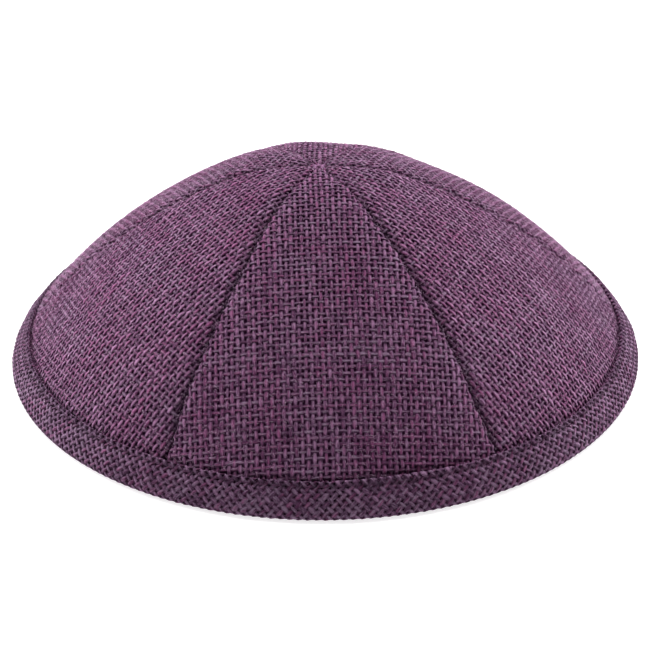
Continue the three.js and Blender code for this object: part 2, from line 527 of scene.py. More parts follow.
def lay_flat(gore, places, column, order):
    """The gore's flat pattern as a grid, at true size, with its tip at 0."""
    shown = ~in_allowance(column)
    open_piece(gore, "DESELECT")
    close_piece()
    for face in gore.data.polygons:
        face.select = all(shown[k] for k in face.vertices)
    bpy.ops.object.mode_set(mode="EDIT")
    bpy.ops.mesh.select_mode(type="FACE")
    bpy.ops.uv.unwrap(method="MINIMUM_STRETCH", iterations=40, margin=0.0)
    close_piece()

    flat = np.empty(len(gore.data.loops) * 2, dtype=np.float32)
    gore.data.uv_layers["pattern"].uv.foreach_get("vector", flat)
    laid = np.repeat([face.select for face in gore.data.polygons], 4)
    uv = np.zeros((len(gore.data.vertices), 2))
    uv[corner_points(gore)[laid]] = flat.reshape(-1, 2)[laid]
    grid = np.zeros((len(ROWS), GORE_COLUMNS, 2))
    grid[order, column] = uv
    first = ALLOWANCE_COLUMNS
    last = GORE_COLUMNS - ALLOWANCE_COLUMNS - 1
    centre = GORE_COLUMNS // 2
    down = grid[-END_ROWS, centre] - grid[END_ROWS, centre]
    turn = math.atan2(down[0], -down[1])
    cos, sin = math.cos(-turn), math.sin(-turn)
    grid = grid - grid[0, centre]
    grid = grid @ np.array([[cos, -sin], [sin, cos]]).T
    face = slice(first, last + 1)
    grid *= length_of_lines(places[:, face]) / length_of_lines(grid[:, face])
    half_way = len(ROWS) // 2
    if grid[half_way, last, 0] < grid[half_way, first, 0]:
        grid[..., 0] *= -1.0

    # The allowance carries on past the seam line, square to it.
    for edge_column, step in ((first, -1), (last, 1)):
        line = grid[:, edge_column]
        along = np.gradient(line, axis=0)
        along /= np.maximum(np.linalg.norm(along, axis=1, keepdims=True), 1e-9)
        square = np.stack([along[:, 1], -along[:, 0]], axis=1)
        square *= np.sign((square[:, 0] * step).mean())
        for k in range(1, ALLOWANCE_COLUMNS + 1):
            here = places[:, edge_column + step * k]
            before = places[:, edge_column + step * (k - 1)]
            gap = np.linalg.norm(here - before, axis=1)
            line = line + square * gap[:, None]
            grid[:, edge_column + step * k] = line
    return grid


def cut_gore(number):
    """One gore as a sheet through the middle of its yarns, with its flat pattern."""
    places, ground, thick, sunk = gore_points(number)
    rows = len(ROWS)
    deselect()
    bpy.ops.mesh.primitive_grid_add(
        x_subdivisions=GORE_COLUMNS - 1, y_subdivisions=rows - 1, size=2
    )
    gore = fresh(GORES[number][0])
    column, row = grid_places(gore, GORE_COLUMNS, rows)
    order = rows - 1 - row
    move_points(gore, places[order, column])
    smooth_shade(gore)
    drop_maps(gore)
    gore.data.uv_layers.new(name="pattern")
    grid = lay_flat(gore, places, column, order)
    write_map(gore, "pattern", grid[order, column] * MAP_PER_METRE)

    facing = facing_of(gore)
    if facing[(order == rows // 2) & (column == GORE_COLUMNS // 2)][0, 2] < 0:
        gore.data.flip_normals()
        facing = facing_of(gore)
    store = gore.data.attributes.new("facing", "FLOAT_VECTOR", "POINT")
    store.data.foreach_set("vector", facing.ravel())
    # How much painted shade the yarns get at each point, for the finish to read.
    write_number(gore, "sunk", sunk[order, column])
    return gore, column, order, ground[order, column], thick[order, column]


# The yarns of a gore end inside the binding, at this height.
YARNS_END = binding_point(4.4, 0.0)[1]


def pattern_of(gore, column, order):
    """The part of the gore that the yarns are fitted to: its face and the turn of its seams."""
    pattern = copy_of(gore, gore.name + "_pattern")
    drop = in_allowance(column) | (ROW_HEIGHT < YARNS_END)[order]
    open_piece(pattern, "DESELECT")
    close_piece()
    for k in np.nonzero(drop)[0]:
        pattern.data.vertices[int(k)].select = True
    bpy.ops.object.mode_set(mode="EDIT")
    bpy.ops.mesh.delete(type="VERT")
    close_piece()
    return pattern


def thicken_gore(gore, column, ground, thick):
    """The sheet becomes the ground of the cloth, a thin closed shell under the yarns."""
    move_points(gore, points_of(gore) - facing_of(gore) * ground[:, None])
    group = gore.vertex_groups.new(name="thickness")
    for value in np.unique(thick):
        group.add([int(k) for k in np.nonzero(thick == value)[0]], float(value), "REPLACE")
    wall = gore.modifiers.new("wall", "SOLIDIFY")
    wall.thickness = GROUND_THICKNESS * MM
    wall.offset = -1.0
    wall.use_rim = True
    wall.vertex_group = "thickness"
    wall.thickness_vertex_group = 0.01
    wall.material_offset = 1
    wall.material_offset_rim = 1
    apply_all(gore)

    # The allowances show their wrong side on both faces.
    allowance = in_allowance(column)
    for face in gore.data.polygons:
        if all(k < len(allowance) and allowance[k] for k in face.vertices):
            face.material_index = 1
    smooth_shade(gore)


# Yarns

def lay_yarns(name, count, steps):
    """Straight yarns side by side, one unit apart, each of so many steps one unit long."""
    deselect()
    bpy.ops.mesh.primitive_cylinder_add(
        vertices=YARN_SIDES,
        radius=FRESH_RADIUS,
        depth=1.0,
        end_fill_type="NOTHING",
        rotation=(math.pi / 2, 0, 0),
        location=(0.5, 0.5, 0),
    )
    yarns = fresh(name)
    bpy.ops.object.transform_apply(location=True, rotation=True, scale=True)
    for label, way, repeats in (("along", (0, 1, 0), steps), ("beside", (1, 0, 0), count)):
        row = yarns.modifiers.new(label, "ARRAY")
        row.use_relative_offset = False
        row.use_constant_offset = True
        row.constant_offset_displace = way
        row.count = repeats
        row.use_merge_vertices = label == "along"
        row.merge_threshold = 0.01
    apply_all(yarns)
    drop_maps(yarns)
    return yarns


def read_yarns(yarns):
    """Yarn number, place across it and above it from -1 to 1, and crossings along it."""
    points = points_of(yarns)
    number = np.floor(points[:, 0]).astype(int)
    across = (points[:, 0] - number - 0.5) / FRESH_RADIUS
    above = points[:, 2] / FRESH_RADIUS
    along = points[:, 1] / STEPS_PER_CROSSING
    return number, across, above, along


def write_yarn_map(yarns, number, across, along):
    """The map that the yarn's finish reads: number and place across, and crossings along."""
    write_map(yarns, "yarn", np.stack([number + 0.5 + HALF_IN_MAP * across, along], axis=1))


def spin_yarns(yarns, yarn, other, rng, over, first):
    """Each yarn goes over and under the others, with its own slubs and small wander."""
    number, across, above, along = read_yarns(yarns)

    # Slubs: a yarn is fat and thin along its length, and some yarns are fatter than others.
    fat = 1.0 + 0.11 * drift(rng, number, along, 2.7)
    fat += 0.07 * rng.normal(size=number.max() + 1)[number]
    fat = np.clip(fat, 0.74, 1.28)

    # Wander: it strays aside, and lies higher or lower than its wave takes it.
    aside = 0.085 * drift(rng, number, along, 3.3) + 0.035 * drift(rng, number, along, 1.0)
    wave = np.cos(math.pi * (along - 0.5 + number)) * over
    height = yarn["wave"] * wave * (1.0 + 0.12 * drift(rng, number, along, 1.0))
    height += 0.045 * drift(rng, number, along, 2.0)

    # Where it passes over it is a little broader.
    flat = 1.0 + 0.06 * wave
    x = (number + 0.5) * yarn["pitch"] + aside + across * yarn["half_width"] * fat * flat
    y = along * other["pitch"]
    z = height + above * yarn["half_height"] * (0.5 + 0.5 * fat)
    write_yarn_map(yarns, number + first, across, along)
    return x, y, z


def weave_patch(name, size, seed, finishes):
    """A flat piece of the cloth, with its middle at x = 0 and its top near y = 0."""
    rng = np.random.default_rng(seed)
    ends = 2 * int(size[0] / WARP["pitch"] / 2) + 2
    picks = 2 * int(size[1] / WEFT["pitch"] / 2) + 2
    start = rng.uniform(0.0, 1.0, size=2)
    warps = lay_yarns(name, ends, picks * STEPS_PER_CROSSING)
    x, y, z = spin_yarns(warps, WARP, WEFT, rng, 1.0, seed * 200)
    left = ends * WARP["pitch"] / 2 + start[0]
    top = picks * WEFT["pitch"] - 2.5 - start[1]
    move_points(warps, np.stack([x - left, y - top, z], axis=1) * MM)
    wefts = lay_yarns(name + "_wefts", picks, ends * STEPS_PER_CROSSING)
    x, y, z = spin_yarns(wefts, WEFT, WARP, rng, -1.0, seed * 200 + 100)
    move_points(wefts, np.stack([y - left, x - top, z], axis=1) * MM)
    wefts.data.flip_normals()
    warps.data.materials.append(finishes[0])
    wefts.data.materials.append(finishes[1])
    pick(warps, wefts)
    bpy.ops.object.join()
    return warps


def start_group(name, inputs):
    """A node group that takes yarns and gives yarns, and the sockets of what it is given."""
    tree = bpy.data.node_groups.new(name, "GeometryNodeTree")
    for label, kind in {"Yarns": "Geometry", **inputs}.items():
        tree.interface.new_socket(label, in_out="INPUT", socket_type="NodeSocket" + kind)
    tree.interface.new_socket("Yarns", in_out="OUTPUT", socket_type="NodeSocketGeometry")
    nodes = Nodes(tree)
    return nodes, nodes.add("NodeGroupInput").outputs


def vector_step(nodes, operation, *values):
    """A Vector Math node."""
    return nodes.add("ShaderNodeVectorMath", {"operation": operation}, dict(enumerate(values)))


def fitting_nodes():
    """Nodes that lay flat yarns on a gore through its pattern, and drop what falls outside."""
    nodes, given = start_group("fit to gore", {"Pattern": "Object"})
    gore = nodes.add("GeometryNodeObjectInfo", {}, {"Object": given["Pattern"]})
    position = nodes.add("GeometryNodeInputPosition").outputs[0]
    height = nodes.add("ShaderNodeSeparateXYZ", {}, {0: position}).outputs["Z"]
    to_map = (MAP_PER_METRE, MAP_PER_METRE, 0.0)
    on_pattern = vector_step(nodes, "MULTIPLY", position, to_map).outputs[0]

    def stored(kind, name):
        node = nodes.add("GeometryNodeInputNamedAttribute", {"data_type": kind}, {"Name": name})
        return node.outputs["Attribute"]

    pattern = stored("FLOAT_VECTOR", "pattern")

    def sampled(kind, value):
        sockets = {
            "Mesh": gore.outputs["Geometry"],
            "Value": value,
            "Source UV Map": pattern,
            "Sample UV": on_pattern,
        }
        return nodes.add("GeometryNodeSampleUVSurface", {"data_type": kind}, sockets).outputs

    def keep(yarns, kind, name, value):
        settings = {"data_type": kind, "domain": "POINT"}
        sockets = {"Geometry": yarns, "Name": name, "Value": value}
        return nodes.add("GeometryNodeStoreNamedAttribute", settings, sockets).outputs[0]

    place = sampled("FLOAT_VECTOR", position)
    facing = sampled("FLOAT_VECTOR", stored("FLOAT_VECTOR", "facing"))["Value"]
    # The painted shade of deep places is carried over to the yarns as well.
    sunk = sampled("FLOAT", stored("FLOAT", "sunk"))["Value"]

    # A yarn's own height lifts it off the gore, square to it.
    unit = vector_step(nodes, "NORMALIZE", facing).outputs[0]
    lift = nodes.add("ShaderNodeVectorMath", {"operation": "SCALE"}, {0: unit, "Scale": height})
    laid = vector_step(nodes, "ADD", place["Value"], lift.outputs[0]).outputs[0]

    # What lies outside is marked before the yarns move, because the pattern is read where
    # they are.
    outside = nodes.add("FunctionNodeBooleanMath", {"operation": "NOT"}, {0: place["Is Valid"]})
    yarns = keep(given["Yarns"], "FLOAT", "sunk", sunk)
    yarns = keep(yarns, "BOOLEAN", "outside", outside.outputs[0])
    moved = nodes.add("GeometryNodeSetPosition", {}, {"Geometry": yarns, "Position": laid})
    cut = nodes.add(
        "GeometryNodeDeleteGeometry",
        {"domain": "POINT"},
        {"Geometry": moved.outputs[0], "Selection": stored("BOOLEAN", "outside")},
    )
    nodes.add("NodeGroupOutput", {}, {"Yarns": cut.outputs[0]})
    return nodes.tree


def fuzz_nodes():
    """Nodes that add loose fibres to yarns: small bowed hairs that lie close to the cloth."""
    inputs = {"Fibre": "Object", "Density": "Float", "Seed": "Int"}
    nodes, given = start_group("loose fibres", inputs)
    position = nodes.add("GeometryNodeInputPosition").outputs[0]
    outward = vector_step(nodes, "SUBTRACT", position, FUZZ_CENTRE).outputs[0]
    normal = nodes.add("GeometryNodeInputNormal").outputs[0]
    facing = vector_step(nodes, "DOT_PRODUCT", outward, normal).outputs["Value"]
    outside = nodes.add(
        "FunctionNodeCompare", {"operation": "GREATER_THAN"}, {0: facing, 1: FUZZ_FACING}
    )
    scatter = nodes.add(
        "GeometryNodeDistributePointsOnFaces",
        {},
        {
            "Mesh": given["Yarns"],
            "Selection": outside.outputs[0],
            "Density": given["Density"],
            "Seed": given["Seed"],
        },
    )
    fibre = nodes.add("GeometryNodeObjectInfo", {}, {"Object": given["Fibre"]})
    turn = nodes.add(
        "FunctionNodeRandomValue",
        {"data_type": "FLOAT_VECTOR"},
        {"Min": FIBRE_TURNS[0], "Max": FIBRE_TURNS[1], "Seed": given["Seed"]},
    )
    turn = nodes.add("FunctionNodeEulerToRotation", {}, {0: turn.outputs["Value"]})
    spin = nodes.add(
        "FunctionNodeRotateRotation",
        {"rotation_space": "LOCAL"},
        {0: scatter.outputs["Rotation"], 1: turn.outputs[0]},
    )
    size = nodes.add(
        "FunctionNodeRandomValue",
        {"data_type": "FLOAT_VECTOR"},
        {"Min": FIBRE_SCALES[0], "Max": FIBRE_SCALES[1]},
    )
    placed = nodes.add(
        "GeometryNodeInstanceOnPoints",
        {},
        {
            "Points": scatter.outputs["Points"],
            "Instance": fibre.outputs["Geometry"],
            "Rotation": spin.outputs[0],
            "Scale": size.outputs["Value"],
        },
    )
    real = nodes.add("GeometryNodeRealizeInstances", {}, {"Geometry": placed.outputs[0]})
    both = nodes.add("GeometryNodeJoinGeometry", {}, {"Geometry": given["Yarns"]})
    nodes.fill(both.inputs["Geometry"], real.outputs["Geometry"])
    nodes.add("NodeGroupOutput", {}, {"Yarns": both.outputs[0]})
    return nodes.tree


def draw_fibre(finish):
    """One loose fibre: two long thin points that meet at its raised middle."""
    deselect()
    bpy.ops.mesh.primitive_plane_add(size=2.0)
    fibre = fresh("fibre")
    corners = points_of(fibre)
    tip = corners[:, 0] * corners[:, 1] > 0
    x = np.where(tip, np.sign(corners[:, 0]) * FIBRE_REACH, 0.0)
    y = np.where(tip, 0.0, FIBRE_BOW + np.sign(corners[:, 1]) * FIBRE_HALF_WIDTH)
    z = np.where(tip, FIBRE_TIPS, FIBRE_MIDDLE)
    move_points(fibre, np.stack([x, y, z], axis=1) * MM)
    open_piece(fibre)
    bpy.ops.mesh.quads_convert_to_tris(quad_method="SHORTEST_DIAGONAL")
    close_piece()
    drop_maps(fibre)
    fibre.data.materials.append(finish)
    return fibre


def run_nodes(yarns, nodes, values):
    """Runs a node group on yarns, with the group's inputs set by their names."""
    step = yarns.modifiers.new(nodes.name, "NODES")
    step.node_group = nodes
    for item in nodes.interface.items_tree:
        if item.in_out == "INPUT" and item.name in values:
            step[item.identifier] = values[item.name]
    apply_all(yarns)
    smooth_shade(yarns)


# Binding

# Middle of the binding's yarns, from inside the slot, over the top ridge, down the face,
# round the fold and up inside: up the slope and out from the middle.
BINDING_PATH_TOP = [
    (5.8, 0.98), (6.4, 0.98), (6.84, 1.13), (7.02, 1.45), (6.86, 1.77), (6.45, 1.93),
    (6.0, 1.95), (5.4, 1.97), (4.9, 1.98), (4.2, 2.02), (3.3, 2.06), (2.3, 2.02), (1.2, 1.90),
]
BINDING_PATH_INSIDE = [
    (1.2, -1.8), (2.6, -1.8), (4.2, -1.8), (5.6, -1.8), (6.3, -1.72), (6.6, -1.5), (6.62, -1.28),
]

# The other face of the strip's ground, which lies against the gores in the slot.
BINDING_SLOT_FACE = [
    (6.0, -1.02), (4.6, -1.02), (2.6, -1.02), (1.0, -1.02), (0.1, -0.7), (-0.25, 0.0),
    (0.1, 0.7), (1.0, 0.98), (2.6, 1.0), (4.6, 1.0),
]

# The ground lies this far under the binding's yarns, and its outer face has so many points.
BINDING_GROUND_DEPTH = 0.32
BINDING_FACE_POINTS = 44

# The binding's yarns never come lower than this at the fold.
LOWEST_YARN = 0.42

# The strip's length in its own map, and the radius at which its yarns are counted.
STRIP_LENGTH = 510.0
BIAS_RADIUS = 80.6


def binding_line():
    """The section's line of yarn middles, as radius and height."""
    points = [binding_point(*point) for point in BINDING_PATH_TOP]
    thick = BINDING_HALF - YARN_DEPTH
    outward = math.pi / 2 - BINDING_SLOPE
    for angle in np.linspace(outward - 0.25, outward - math.pi + 0.25, 9):
        radius = FOLD_RADIUS + thick * math.cos(angle)
        points.append((radius, max(LOWEST_YARN, FOLD_HEIGHT + thick * math.sin(angle))))
    points += [binding_point(*point) for point in BINDING_PATH_INSIDE]
    return spline_through(points, 6)


BINDING_LINE, BINDING_LENGTH = binding_line()

# Where along the line the stitches are.
stitch_point = np.array(binding_point(STITCH_UP, STITCH_OUT))
STITCH_PLACE = float(BINDING_LENGTH[np.argmin(np.hypot(*(BINDING_LINE - stitch_point).T))])


def at_stitches(turn, distance):
    """How near a place is to a needle hole, to the row of stitches and to the ridge over it."""
    phase = turn / (2 * math.pi) * STITCHES
    hole = bell(phase - np.rint(phase), HOLE_WIDTH)
    row = bell(distance - STITCH_PLACE, ROW_WIDTH)
    ridge = bell(distance - STITCH_PLACE + RIDGE_OVER_ROW, RIDGE_WIDTH)
    return hole, row, ridge


def on_binding(turn, distance, lift):
    """Places on the binding: turn round it, distance over its section, lift off the line."""
    distance = np.clip(distance, 0.0, BINDING_LENGTH[-1])
    r, z, out_r, out_z = along_line(BINDING_LINE, BINDING_LENGTH, distance, 0.12)

    # The thread pulls the row in, most at each hole, and the ridge over it stands out.
    hole, row, ridge = at_stitches(turn, distance)
    pulled = -0.26 * row - 0.34 * row * hole + ridge * (0.26 - 0.16 * hole)

    # The face is never quite even round the rim.
    wobble = sum(size * np.sin(turn * count + start) for size, count, start in BINDING_WAVES)
    pulled += wobble * smoothstep(distance, 2.2, 4.5) * (1.0 - smoothstep(distance, 8.5, 10.5))

    # Over a ditch the top edge stands off the gores.
    off = ditch_at(turn) * 0.7 * bell(distance - STITCH_PLACE + 1.4, 1.3)
    lift = lift + pulled + off * np.where(distance > STITCH_PLACE - 1.6, 1.0, -0.6)
    r = r + out_r * lift
    z = np.maximum(z + out_z * lift, 0.0)
    return np.stack([r * np.cos(turn), r * np.sin(turn), z], axis=1) * MM


def weave_binding(finishes):
    """The bias strip's yarns: one set leans each way, at 45 degrees to the rim."""
    rng = np.random.default_rng(900)
    spacing = BIAS["pitch"] * math.sqrt(2.0)
    around = int(round(2 * math.pi * BIAS_RADIUS / spacing))
    across_steps = int((BINDING_LENGTH[-1] - 0.2) / (spacing / 2.0))
    pieces = []
    for lean, finish in zip((1.0, -1.0), finishes):
        yarns = lay_yarns("binding_weave", around, across_steps * STEPS_PER_CROSSING)
        number, across, above, along = read_yarns(yarns)
        fat = 1.0 + 0.13 * drift(rng, number, along, 2.7)
        fat = np.clip(fat + 0.07 * rng.normal(size=around)[number], 0.7, 1.35)
        aside = 0.06 * drift(rng, number, along, 2.6)
        wave = np.cos(math.pi * along) * lean
        height = BIAS["wave"] * wave * (1.0 + 0.12 * drift(rng, number, along, 1.0))
        sideways = aside + across * BIAS["half_width"] * fat
        reach = along * BIAS["pitch"]
        cos = math.sqrt(0.5)
        x = number * spacing + lean * reach * cos + sideways * cos
        y = reach * cos - lean * sideways * cos
        z = height + above * BIAS["half_height"] * (0.5 + 0.5 * fat)
        turn = x / (around * spacing) * 2 * math.pi
        write_yarn_map(yarns, number, across, along + 0.5 - number)
        move_points(yarns, on_binding(turn, y, z))
        # The binding's yarns get painted shade along the pulled-in row of stitches, most at the
        # needle holes.
        hole, row, _ = at_stitches(turn, y)
        write_number(yarns, "sunk", row * (0.3 + 0.6 * hole))
        if lean < 0:
            yarns.data.flip_normals()
        yarns.data.materials.append(finish)
        pieces.append(yarns)
    pick(*pieces)
    bpy.ops.object.join()
    weave = bpy.context.object
    smooth_shade(weave)
    return weave


def fold_binding():
    """The strip's ground: a closed section spun round the axis, puckered by its stitches."""
    outer = np.linspace(0.0, BINDING_LENGTH[-1], BINDING_FACE_POINTS)
    section = len(outer) + len(BINDING_SLOT_FACE)
    deselect()
    bpy.ops.mesh.primitive_circle_add(vertices=section, radius=1.0, fill_type="NOTHING")
    binding = fresh("binding")
    points = points_of(binding)
    rank = np.argsort(np.mod(np.arctan2(points[:, 1], points[:, 0]), 2 * math.pi))
    flat = np.zeros((section, 3))
    low = np.interp(outer, BINDING_LENGTH, BINDING_LINE[:, 1])
    inset = -BINDING_GROUND_DEPTH * (0.35 + 0.65 * smoothstep(low, 0.5, 2.2))
    r_out = on_binding(np.full(len(outer), math.pi / STITCHES), outer, inset)
    flat[: len(outer), 0] = np.hypot(r_out[:, 0], r_out[:, 1])
    flat[: len(outer), 2] = r_out[:, 2]
    for k, point in enumerate(BINDING_SLOT_FACE):
        r, z = binding_point(*point)
        flat[len(outer) + k] = (r * MM, 0.0, z * MM)
    ordered = np.zeros((section, 3))
    ordered[rank] = flat
    move_points(binding, ordered)
    open_piece(binding)
    bpy.ops.mesh.spin(
        steps=STITCHES * 2,
        angle=2 * math.pi,
        center=(0, 0, 0),
        axis=(0, 0, 1),
        use_auto_merge=True,
    )
    bpy.ops.mesh.select_all(action="SELECT")
    bpy.ops.mesh.remove_doubles(threshold=0.00002)
    bpy.ops.mesh.normals_make_consistent(inside=False)
    close_piece()

    # Each point of the outer face moves to its own place beside the stitches.
    points = points_of(binding)
    radius = np.hypot(points[:, 0], points[:, 1])
    turn = np.arctan2(points[:, 1], points[:, 0])
    line = flat[: len(outer), [0, 2]]
    gap = np.hypot(
        radius[:, None] - line[None, :, 0], points[:, 2][:, None] - line[None, :, 1]
    )
    near = np.argmin(gap, axis=1)
    on_face = gap[np.arange(len(points)), near] < 0.00001
    placed = on_binding(turn, outer[near], inset[near])
    points[on_face] = placed[on_face]
    move_points(binding, points)
    around = turn / (2 * math.pi) * STRIP_LENGTH
    write_map(binding, "pattern", np.stack([around, outer[near]], axis=1) / MM_PER_MAP)
    smooth_shade(binding)
    return binding


def sew_binding():
    """The row of stitches along the binding: one stitch, copied round the ring."""
    deselect()
    bpy.ops.mesh.primitive_uv_sphere_add(segments=8, ring_count=6, radius=1.0)
    stitches = fresh("binding_stitches")
    points = points_of(stitches)
    reach = points[:, 2]
    girth = np.maximum(np.hypot(points[:, 0], points[:, 1]), 0.001)
    round_ended = np.sqrt(np.clip(1.0 - np.abs(reach) ** 3, 0.0, 1.0)) / girth * THREAD_RADIUS
    turn = (reach * STITCH_HALF_LENGTH + 0.5) * (2 * math.pi / STITCHES)
    distance = STITCH_PLACE + points[:, 0] * round_ended
    lift = points[:, 1] * round_ended + STITCH_LIFT - STITCH_DIVE * np.abs(reach) ** 3
    move_points(stitches, on_binding(turn, distance, lift))
    open_piece(stitches)
    bpy.ops.mesh.spin(
        steps=STITCHES - 1,
        dupli=True,
        angle=2 * math.pi * (STITCHES - 1) / STITCHES,
        center=(0, 0, 0),
        axis=(0, 0, 1),
    )
    bpy.ops.mesh.select_all(action="SELECT")
    bpy.ops.mesh.normals_make_consistent(inside=False)
    close_piece()
    smooth_shade(stitches)
    return stitches


# Finishes

class Value:
    """A number that changes over a surface. Sums on it add Math nodes."""

    def __init__(self, finish, socket):
        self.finish = finish
        self.socket = socket

    def maths(self, operation, *values):
        settings = {"operation": operation}
        node = self.finish.add("ShaderNodeMath", settings, dict(enumerate(values)))
        return Value(self.finish, node.outputs[0])

    def __add__(self, other):
        return self.maths("ADD", self, other)

    def __radd__(self, other):
        return self.maths("ADD", other, self)

    def __sub__(self, other):
        return self.maths("SUBTRACT", self, other)

    def __rsub__(self, other):
        return self.maths("SUBTRACT", other, self)

    def __mul__(self, other):
        return self.maths("MULTIPLY", self, other)

    def __rmul__(self, other):
        return self.maths("MULTIPLY", other, self)

    def __truediv__(self, other):
        return self.maths("DIVIDE", self, other)

    def floor(self):
        return self.maths("FLOOR", self)

    def cosine(self):
        return self.maths("COSINE", self)

    def absolute(self):
        return self.maths("ABSOLUTE", self)

    def clamped(self):
        return self.maths("MINIMUM", self.maths("MAXIMUM", self, 0.0), 1.0)


class Finish(Nodes):
    """One material, with the nodes that give it its colour, roughness and grain."""

    def __init__(self, name):
        self.material = bpy.data.materials.new(name)
        self.material.use_nodes = True
        super().__init__(self.material.node_tree)
        self.tree.nodes.clear()

    def place(self):
        return self.add("ShaderNodeTexCoord").outputs["Object"]

    def map_parts(self, name):
        """The two numbers of a UV map."""
        uv = self.add("ShaderNodeUVMap", {"uv_map": name})
        parts = self.add("ShaderNodeSeparateXYZ", {}, {0: uv.outputs[0]})
        return Value(self, parts.outputs[0]), Value(self, parts.outputs[1])

    def number(self, name):
        """A number that is stored at each point of the mesh."""
        stored = self.add("ShaderNodeAttribute", {"attribute_name": name})
        return Value(self, stored.outputs["Fac"])

    def vector(self, x, y, z=0.0):
        return self.add("ShaderNodeCombineXYZ", {}, {0: x, 1: y, 2: z}).outputs[0]

    def noise(self, vector, scale, detail=2.0, roughness=0.5):
        node = self.add(
            "ShaderNodeTexNoise",
            {"noise_dimensions": "3D"},
            {"Vector": vector, "Scale": scale, "Detail": detail, "Roughness": roughness},
        )
        return Value(self, node.outputs[0])

    def chance(self, number, seed):
        """A random number from 0 to 1 for each whole number."""
        node = self.add(
            "ShaderNodeTexWhiteNoise", {"noise_dimensions": "1D"}, {"W": number + seed}
        )
        return Value(self, node.outputs[0])

    def mix(self, share, one, other, blend="MIX"):
        one, other = [
            value if isinstance(value, bpy.types.NodeSocket) else (*value, 1.0)
            for value in (one, other)
        ]
        node = self.add(
            "ShaderNodeMix",
            {"data_type": "RGBA", "blend_type": blend},
            {"Factor": share, 6: one, 7: other},
        )
        return node.outputs[2]

    def cloth(self, colour, roughness, height=None, depth=0.0, sheen=0.0, glow=0.0):
        """Finishes the material as cloth: its colour, and its height as grain."""
        sockets = {
            "Base Color": colour,
            "Roughness": roughness,
            "Specular IOR Level": 0.15,
            "Sheen Weight": sheen,
            "Sheen Roughness": 0.35,
            "Sheen Tint": (*SHEEN, 1.0),
            "Emission Color": (1.0, 1.0, 1.0, 1.0),
            "Emission Strength": glow,
        }
        if height is not None:
            grain = {"Height": height, "Distance": depth, "Strength": 1.0}
            sockets["Normal"] = self.add("ShaderNodeBump", {}, grain).outputs[0]
        shader = self.add("ShaderNodeBsdfPrincipled", {}, sockets)
        self.add("ShaderNodeOutputMaterial", {}, {"Surface": shader.outputs[0]})
        return self.material


def linear(red, green, blue):
    """A colour as seen on screen, 0 to 255, as the shader takes it."""
    parts = []
    for value in (red, green, blue):
        value /= 255.0
        parts.append(value / 12.92 if value <= 0.04045 else ((value + 0.055) / 1.055) ** 2.4)
    return tuple(parts)


MAUVE = linear(158, 115, 151)
ROSE = linear(142, 77, 119)
LILAC_GREY = linear(150, 122, 149)
PLUM = linear(74, 38, 70)
# A dark wine for the painted shade on the yarns' flanks.
PAINTED_FLANK_SHADE = linear(62, 24, 57)
GROUND = linear(94, 48, 90)
# A dark for painted shade in the deep places of the cloth, and for the specks in its ground.
PAINTED_SHADE_AND_SPECK = linear(34, 18, 36)
# A dark for the painted shade in the gaps of the cloth's wrong side.
PAINTED_GAP_SHADE = linear(40, 22, 42)
THREAD_TONES = (linear(96, 58, 88), linear(66, 36, 62))
# The loose fibres' own pale lilac, lightened past any yarn's tone as a painted sheen.
FIBRE_TONES_AND_SHEEN = (linear(176, 130, 168), linear(222, 196, 216))
FLOOR_TONES = ((0.60, 0.60, 0.596), (0.63, 0.63, 0.626))
SHEEN = linear(218, 172, 222)


def yarn_finish(name, tones, seed, shade, over, narrowness):
    """Heathered yarn: each yarn has its own tone, and fibres of others run through it.

    Shade dims the whole yarn, over is 1 for warp and -1 for weft, and the higher narrowness
    is, the wider the painted shade on its flanks is.
    """
    finish = Finish(name)
    number, along = finish.map_parts("yarn")
    pale, rosy, deep = tones

    # Where a place is on its yarn: across it, and raised where the yarn passes over.
    yarn = number.floor()
    own = finish.chance(yarn, seed)
    across = (number - yarn - 0.5) / HALF_IN_MAP
    crossing = along - 0.5 + yarn
    raised = (crossing * math.pi).cosine() * (0.5 * over) + 0.5

    # Tones that differ from float to float, along the fibres, and in patches and blotches.
    float_tone = finish.chance(((crossing + 0.5 + 0.5 * over) * 0.5).floor() + yarn * 61.0, seed)
    streaks = finish.noise(
        finish.vector(number * 2.4 + yarn * 3.7, along * 0.5 + own * 40.0, seed), 1.6, 2.0, 0.55
    )
    fleck = finish.noise(
        finish.vector(number * 3.6 + yarn * 1.9, along * 0.8 - own * 30.0, seed + 3.0), 1.5
    )
    patch = finish.noise(finish.vector(yarn * 2.3, along * 0.22, seed + 9.0), 1.0)
    blotch = finish.noise(finish.place(), 75.0)
    rosiness = (streaks - 0.5) * 3.4 + (blotch - 0.5) * 1.7 + (own - 0.5) * 0.8 + 0.45
    colour = finish.mix(rosiness.clamped(), pale, rosy)
    darker = (patch - 0.5) * 2.0 + (fleck - 0.5) * 4.4 + (float_tone - 0.5) * 1.1 + 0.3
    colour = finish.mix(darker.clamped() * 0.8, colour, deep)

    # Painted shade on its flanks and where it passes under, broken up by its streaks, and darker
    # painted shade yet where the cloth lies deep.
    low = across.absolute() * narrowness - raised * 0.7 + (streaks - 0.5) * 1.5 + 0.2
    colour = finish.mix(low.clamped() * 0.92, colour, PAINTED_FLANK_SHADE)
    colour = finish.mix(finish.number("sunk") * 0.8, colour, PAINTED_SHADE_AND_SPECK)
    # The whole yarn is dimmed by its shade: for the back gores' and the binding's copies this is
    # painted shade.
    colour = finish.mix(1.0, colour, (shade, shade, shade), "MULTIPLY")
    twist = finish.noise(
        finish.vector(number * 6.0 + along * 3.0, along * 1.2 - number * 2.0, seed), 3.0
    )
    return finish.cloth(colour, 0.82 + fleck * 0.16, twist, 0.00018, 0.25)


def ground_finish():
    finish = Finish("cloth ground in the gaps")
    dust = finish.noise(finish.place(), 2600.0)
    return finish.cloth(finish.mix(dust, GROUND, PAINTED_SHADE_AND_SPECK), 0.95, dust, 0.0001)


